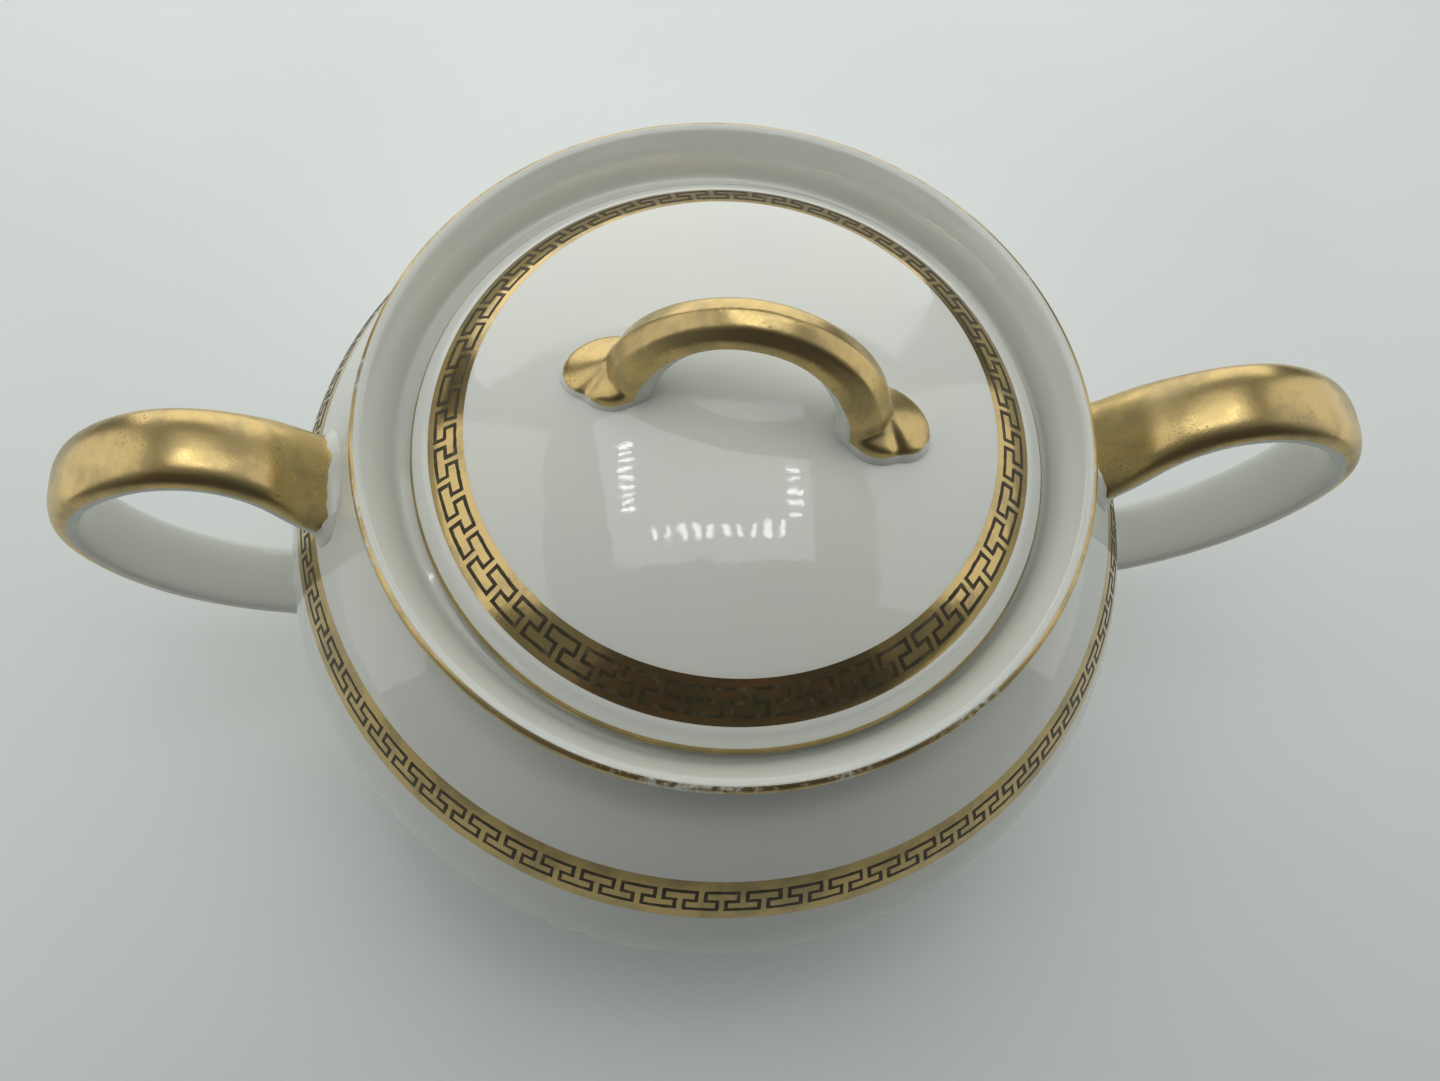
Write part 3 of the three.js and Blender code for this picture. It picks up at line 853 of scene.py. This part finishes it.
class Finish:
    """A material in the making, with the shared groups placed in it."""

    def __init__(self, name, finishes):
        self.material = bpy.data.materials.new(name)
        self.material.use_nodes = True
        tree = self.material.node_tree
        self.shader = tree.nodes["Principled BSDF"]
        self.w = Wiring(tree)
        self.colours = finishes

    def shared(self, name, build, **values):
        placed = self.w.node("ShaderNodeGroup", node_tree=group_named(name, build))
        for key, value in values.items():
            placed.inputs[key].default_value = value
        return placed.outputs

    def glaze(self, specks=0.5, gloss=0.045):
        body, speck = with_alpha(self.colours.porcelain), with_alpha(self.colours.speck)
        return self.shared("Glaze", glaze_group, Body=body, Speck=speck, Specks=specks, Gloss=gloss)

    def gold(self, marks, wear, polish):
        return self.shared(
            "Fired gold",
            gold_group,
            Gold=with_alpha(self.colours.gold),
            Dull=with_alpha(self.colours.gold_dull),
            Tarnish=with_alpha(self.colours.tarnish),
            Marks=marks,
            Wear=wear,
            Polish=polish,
        )

    def relief(self, height, depth):
        bump = self.w.node("ShaderNodeBump", inputs={"Height": height, "Distance": depth, "Strength": 1.0})
        self.w.feed(self.shader.inputs["Normal"], bump.outputs[0])

    def surface(self, **feeds):
        for name, value in feeds.items():
            self.w.feed(self.shader.inputs[name.replace("_", " ")], value)
        return self.material


def porcelain(finishes):
    """Thick clear glaze over a white body."""
    finish = Finish("glazed_porcelain", finishes)
    glaze = finish.glaze()
    finish.relief(glaze["Height"], 0.06 * MM)
    finish.shader.inputs["Subsurface Weight"].default_value = 0.12
    finish.shader.inputs["Subsurface Radius"].default_value = (1.0, 0.95, 0.85)
    finish.shader.inputs["Subsurface Scale"].default_value = 1.2 * MM
    finish.shader.inputs["IOR"].default_value = 1.54
    return finish.surface(Base_Color=glaze["Color"], Roughness=glaze["Roughness"])


def gilded(name, finishes, marks, wear, polish, masked=False):
    """Gold over the glaze. Where it is masked or worn away, the porcelain shows."""
    finish = Finish(name, finishes)
    w = finish.w
    glaze, gold = finish.glaze(0.3, 0.09), finish.gold(marks, wear, polish)
    cover = w.maths("SUBTRACT", 1.0, gold["Worn"])
    if masked:
        gilt = w.node("ShaderNodeAttribute", attribute_name="gilt").outputs["Fac"]
        place = w.node("ShaderNodeTexCoord").outputs["Object"]
        ragged = w.maths("SUBTRACT", w.noise(place, 0.9 / MM, 3), 0.5)
        edge = w.maths("ADD", gilt, w.maths("MULTIPLY", ragged, 0.5))
        cover = w.maths("MULTIPLY", cover, w.ramp(edge, -0.08, 0.08))
    rough, height = (
        w.node("ShaderNodeMix", data_type="FLOAT", inputs={0: cover, 2: glaze[key], 3: gold[key]})
        for key in ("Roughness", "Height")
    )
    finish.relief(height.outputs[0], 0.05 * MM)
    return finish.surface(
        Base_Color=w.blend(cover, glaze["Color"], gold["Color"]),
        Metallic=cover,
        Roughness=rough.outputs[0],
    )


def enamel(finishes):
    """The printed line: dark enamel that fires a little browner where it is thin."""
    finish = Finish("key_enamel", finishes)
    w = finish.w
    place = w.node("ShaderNodeTexCoord").outputs["Object"]
    thin = w.ramp(w.noise(place, 0.8 / MM, 3, 0.6), 0.45, 0.75)
    dark = with_alpha(finishes.enamel)
    brown = with_alpha([c * 2.6 for c in finishes.enamel])
    finish.relief(w.noise(place, 1.5 / MM), 0.02 * MM)
    finish.shader.inputs["Specular IOR Level"].default_value = 0.2
    rough = w.maths("ADD", 0.4, w.maths("MULTIPLY", thin, 0.15))
    return finish.surface(Base_Color=w.blend(thin, dark, brown), Roughness=rough)


def paper_material(finishes):
    """The pale sheet under the bowl: faintly mottled and a little glossy."""
    finish = Finish("pale_sheet", finishes)
    w = finish.w
    place = w.node("ShaderNodeTexCoord").outputs["Object"]
    cloud = w.noise(place, 9.0, 3)
    base = with_alpha(finishes.paper)
    cool = with_alpha([c * k for c, k in zip(finishes.paper, (0.955, 0.965, 0.965))])
    finish.relief(w.noise(place, 300.0, 3), 0.02 * MM)
    return finish.surface(Base_Color=w.blend(w.ramp(cloud, 0.35, 0.7), base, cool), Roughness=0.55)


def material(name, build, *values, **settings):
    """The material of this name, built the first time that it is asked for."""
    return bpy.data.materials.get(name) or build(*values, **settings)


def porcelain_of(context):
    return material("glazed_porcelain", porcelain, sizes(context).finishes)


def gold_of(context, name, **values):
    return material(name, gilded, name, sizes(context).finishes, **values)


def strap_gold_of(context):
    return gold_of(context, "strap_gold", marks=0.6, wear=0.0, polish=0.24, masked=True)


def band_gold_of(context):
    return gold_of(context, "band_gold", marks=0.25, wear=0.1, polish=0.12)


def line_gold_of(context):
    return gold_of(context, "line_gold", marks=0.3, wear=0.59, polish=0.27)


def enamel_of(context):
    return material("key_enamel", enamel, sizes(context).finishes)


def place_piece(piece, body, slot_name, *nodes):
    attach(piece, body)
    if nodes:
        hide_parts(*nodes)
    return {"FINISHED"}


# Operators.


class SUGARBOWL_OT_bowl(Operator):
    """Turn the bowl, with its foot ring, neck, rolled rim and the ledge for its lid"""

    bl_idname = "sugarbowl.bowl"
    bl_label = "Bowl"

    def execute(self, context):
        kit = sizes(context)
        piece = revolve("bowl", bowl_outline(kit.bowl, kit.lid), porcelain_of(context))
        return place_piece(piece, "bowl", "porcelain", "bowl_body")


class SUGARBOWL_OT_rim_line(Operator):
    """Gild the top of the bowl's rolled rim"""

    bl_idname = "sugarbowl.rim_line"
    bl_label = "Rim line"

    def execute(self, context):
        s = sizes(context).bowl
        roll = s.rim_thickness / 2
        start, end = math.radians(RIM_LINE_START), math.radians(RIM_LINE_END)

        def surface(v):
            a = start + (end - start) * v
            out, up = math.cos(a), math.sin(a)
            return s.rim_radius - roll + roll * out, s.rim_height - roll + roll * up, out, up

        return place_piece(gold_band("bowl_rim_line", surface, line_gold_of(context)), "bowl", "gilding")


class SUGARBOWL_OT_bowl_border(Operator):
    """Print the gold band and the key line round the bowl's shoulder"""

    bl_idname = "sugarbowl.bowl_border"
    bl_label = "Bowl border"

    def execute(self, context):
        kit = sizes(context)
        border = kit.border

        def surface(v):
            return bowl_shoulder(kit.bowl, border, v)

        low, high = (np.array(surface(v)[:2]) for v in (0, 1))
        width = float(np.linalg.norm(high - low))
        radius = float((low + high)[0] / 2)
        band = gold_band("bowl_border_gold", surface, band_gold_of(context))
        place_piece(band, "bowl", "gilding")
        printed = enamel_of(context)
        key = key_line("bowl_border_key", surface, radius, width, border.bowl_units, border, printed, 11)
        return place_piece(key, "bowl", "key_line")


class SUGARBOWL_OT_side_handles(Operator):
    """Shape the two loop handles, gilded outside and plain inside"""

    bl_idname = "sugarbowl.side_handles"
    bl_label = "Side handles"

    def execute(self, context):
        kit = sizes(context)
        for word, side in (("right", 1), ("left", -1)):
            piece = loop_handle(f"loop_handle_{word}", kit.bowl, kit.loop, side, strap_gold_of(context))
            place_piece(piece, "bowl", "gilding", f"handle_{word}")
        return {"FINISHED"}


class SUGARBOWL_OT_lid(Operator):
    """Turn the lid, with its locating flange, brim, sloping shoulder and dome"""

    bl_idname = "sugarbowl.lid"
    bl_label = "Lid"

    def execute(self, context):
        kit = sizes(context)
        piece = revolve("lid_cap", lid_outline(kit.bowl, kit.lid), porcelain_of(context))
        return place_piece(seat_on_lid(piece, kit.lid), "lid", "porcelain", "lid")


class SUGARBOWL_OT_lid_border(Operator):
    """Print the lid's gold band and key line, and gild its edge"""

    bl_idname = "sugarbowl.lid_border"
    bl_label = "Lid border"

    def execute(self, context):
        kit = sizes(context)
        lid, border = kit.lid, kit.border

        def surface(v):
            return lid_shoulder(lid, v)

        def edge(v):
            return lid_edge(lid, v)

        width = math.hypot(lid.band_outer - lid.band_inner, lid.band_drop)
        radius = (lid.band_outer + lid.band_inner) / 2
        band = gold_band("lid_border_gold", surface, band_gold_of(context))
        printed = enamel_of(context)
        key = key_line("lid_border_key", surface, radius, width, border.lid_units, border, printed, 5)
        line = gold_band("lid_edge_line", edge, band_gold_of(context), rows=10)
        for piece, slot_name in ((band, "gilding"), (key, "key_line"), (line, "gilding")):
            place_piece(seat_on_lid(piece, lid), "lid", slot_name)
        return {"FINISHED"}


class SUGARBOWL_OT_lid_handle(Operator):
    """Shape the bow on the lid and the leaf at each of its feet"""

    bl_idname = "sugarbowl.lid_handle"
    bl_label = "Lid handle"

    def execute(self, context):
        kit = sizes(context)
        piece = lid_bow("lid_bow", kit.lid, kit.bow, strap_gold_of(context))
        piece.data.transform(Matrix.Translation((kit.bow.shift, 0, kit.bowl.rim_height)))
        return place_piece(seat_on_lid(piece, kit.lid), "lid", "gilding", "lid_handle")


class SUGARBOWL_OT_stage(Operator):
    """Lay the pale sheet and set the lamps, the room and the camera"""

    bl_idname = "sugarbowl.stage"
    bl_label = "Stage"

    def execute(self, context):
        kit = sizes(context)
        lay_sheet(kit.finishes)
        hang_lamps(kit.stage)
        light_room(context.scene, kit.stage)
        set_camera(context.scene, kit.stage, kit.bowl.rim_height)
        context.scene.view_settings.view_transform = "Standard"
        return {"FINISHED"}


def lay_sheet(finishes):
    half = 2.0
    vertices = [(-half, -half, 0), (half, -half, 0), (half, half, 0), (-half, half, 0)]
    sheet = add_mesh("floor_sheet", vertices, [(0, 1, 2, 3)], paper_material(finishes))


def hang_lamps(stage):
    """A ring of small lamps over the bowl, and pale screens that fill from above, behind and both sides."""
    height = stage.lamp_height
    aim = Vector((0, 0, 0.05))
    rows = [(-0.056, 0.050 - 0.0062 * i, 0.010, 0.0022) for i in range(9)]
    rows += [(0.057, 0.042 - 0.0085 * i, 0.010, 0.0028) for i in range(7)]
    rows += [(-0.039 + 0.0094 * i, -0.019, 0.0036, 0.009) for i in range(10)]
    for i, (x, y, across, along) in enumerate(rows):
        lamp(f"lamp_{i:02d}", (x, y, height), (x, y, 0), (across, along), stage.lamp_power)
    for name, place, size, power in (
        ("screen_over", (0, 0.03, 0.30), (0.20, 0.16), stage.screen_over),
        ("screen_behind", (0, 0.32, 0.16), (0.6, 0.30), stage.screen_behind),
        ("screen_left", (-0.32, 0.03, 0.16), (0.30, 0.5), stage.screen_left),
        ("screen_right", (0.32, 0.03, 0.16), (0.30, 0.5), stage.screen_right),
    ):
        lamp(name, place, aim, size, power)


def lamp(name, place, aim, size, power):
    light = bpy.data.lights.new(name, "AREA")
    light.shape = "RECTANGLE"
    light.size, light.size_y = size
    light.energy = power
    holder = bpy.data.objects.new(name, light)
    holder.location = place
    holder.rotation_euler = (Vector(aim) - Vector(place)).to_track_quat("-Z", "Y").to_euler()
    holder.visible_camera = False
    bpy.context.scene.collection.objects.link(holder)


def light_room(scene, stage):
    """Pale walls, darker low down, with a dark opening in front that gives the gold its depth."""
    world = bpy.data.worlds.new("room")
    world.use_nodes = True
    w = Wiring(world.node_tree)
    way = w.node("ShaderNodeTexCoord").outputs["Generated"]
    axes = w.node("ShaderNodeSeparateXYZ", inputs={0: way}).outputs
    level = w.maths("SUBTRACT", 1.0, w.maths("POWER", axes[2], 2.0))
    level = w.maths("SQRT", w.maths("MAXIMUM", level, 0.0001))
    bearing = math.radians(4)
    ahead = w.maths("MULTIPLY", axes[1], -math.cos(bearing))
    ahead = w.maths("ADD", ahead, w.maths("MULTIPLY", axes[0], math.sin(bearing)))
    frontness = w.maths("DIVIDE", ahead, level)
    opening = w.maths("MULTIPLY", w.ramp(frontness, 0.69, 0.705), w.ramp(axes[2], 0.84, 0.80))
    patches = w.ramp(w.noise(way, 5.0, 2), 0.44, 0.56)
    tint = w.blend(patches, (0.25, 0.30, 0.34, 1), (0.45, 0.33, 0.33, 1))
    walls = w.blend(w.ramp(axes[2], 0.0, 0.4), (0.55, 0.58, 0.56, 1), (0.95, 1.0, 0.975, 1))
    colour_out = w.blend(opening, walls, tint)
    background = world.node_tree.nodes["Background"]
    w.feed(background.inputs["Color"], colour_out)
    background.inputs["Strength"].default_value = stage.room_light
    scene.world = world


def set_camera(scene, stage, height):
    aim = Vector((stage.aim_side, -stage.aim_front, height))
    cos_up = math.cos(stage.elevation)
    back = Vector((
        cos_up * math.sin(stage.azimuth),
        -cos_up * math.cos(stage.azimuth),
        math.sin(stage.elevation),
    ))
    right = Vector((0, 0, 1)).cross(back).normalized()
    up = back.cross(right)
    across = math.cos(stage.roll) * right + math.sin(stage.roll) * up
    upward = back.cross(across)
    data = bpy.data.cameras.new("camera")
    data.lens = stage.lens
    data.sensor_width = 36
    data.shift_x, data.shift_y = 0.065, 0.0445
    data.clip_start = 0.01
    camera = bpy.data.objects.new("camera", data)
    turned = Matrix((across, upward, back)).transposed().to_4x4()
    camera.matrix_world = Matrix.Translation(aim + back * stage.distance) @ turned
    scene.collection.objects.link(camera)
    scene.camera = camera


class SugarBowlKit(PropertyGroup):
    bowl: PointerProperty(type=BowlSizes)
    lid: PointerProperty(type=LidSizes)
    loop: PointerProperty(type=LoopSizes)
    bow: PointerProperty(type=BowSizes)
    border: PointerProperty(type=BorderSizes)
    finishes: PointerProperty(type=Finishes)
    stage: PointerProperty(type=StageSizes)


OPERATORS = (
    SUGARBOWL_OT_bowl,
    SUGARBOWL_OT_rim_line,
    SUGARBOWL_OT_bowl_border,
    SUGARBOWL_OT_side_handles,
    SUGARBOWL_OT_lid,
    SUGARBOWL_OT_lid_border,
    SUGARBOWL_OT_lid_handle,
    SUGARBOWL_OT_stage,
)


class SUGARBOWL_PT_pieces(Panel):
    """The pieces of the sugar bowl, in the order they are made"""

    bl_idname = "SUGARBOWL_PT_pieces"
    bl_label = "Sugar Bowl"
    bl_space_type = "VIEW_3D"
    bl_region_type = "UI"
    bl_category = "Sugar Bowl"

    def draw(self, context):
        for operator in OPERATORS:
            self.layout.operator(operator.bl_idname)


CLASSES = (
    BowlSizes,
    LidSizes,
    LoopSizes,
    BowSizes,
    BorderSizes,
    Finishes,
    StageSizes,
    SugarBowlKit,
    *OPERATORS,
    SUGARBOWL_PT_pieces,
)


def register():
    for cls in CLASSES:
        bpy.utils.register_class(cls)
    bpy.types.Scene.sugar_bowl = PointerProperty(type=SugarBowlKit)


def unregister():
    del bpy.types.Scene.sugar_bowl
    for cls in reversed(CLASSES):
        bpy.utils.unregister_class(cls)


def main():
    register()
    for operator in OPERATORS:
        group, name = operator.bl_idname.split(".")
        getattr(getattr(bpy.ops, group), name)()


if __name__ == "__main__":
    main()
